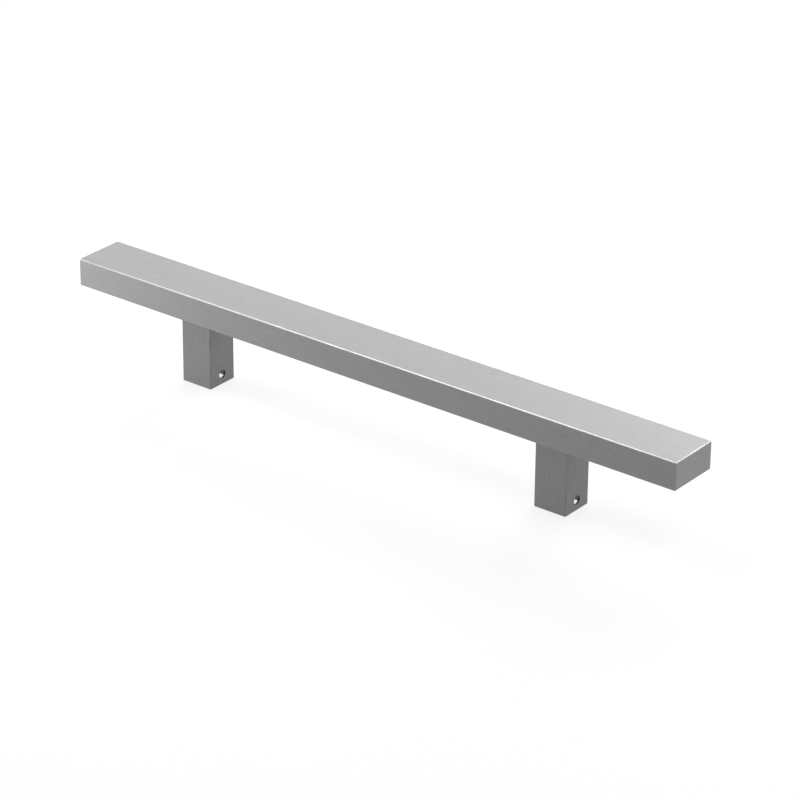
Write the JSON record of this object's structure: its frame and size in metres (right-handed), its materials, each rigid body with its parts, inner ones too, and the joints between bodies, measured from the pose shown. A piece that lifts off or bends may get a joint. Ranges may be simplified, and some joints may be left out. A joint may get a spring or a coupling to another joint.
{
  "type": "bridge pull handle",
  "caption": "Flat rectangular bar pull handle on square tube posts, open at the feet for spigot fixing with cross holes for grub screws.",
  "frame": {"origin": "midway between the posts, on the plane of their feet, under the middle of the bar", "axes": "+X along the bar, towards the side of the posts that has the grub screw holes; +Y across the bar; +Z away from the door, from the feet to the bar"},
  "size_m": [0.5, 0.04, 0.07],
  "materials": {
    "bar_steel": "satin, brushed along the bar",
    "end_plate_steel": "satin, brushed across the end",
    "post_steel": "satin, brushed along the post"
  },
  "bodies": {
    "root": {"handle_bar": "bar_steel", "end_plate_left": "end_plate_steel", "end_plate_right": "end_plate_steel", "post_left": "post_steel", "post_right": "post_steel"}
  },
  "joints": []
}
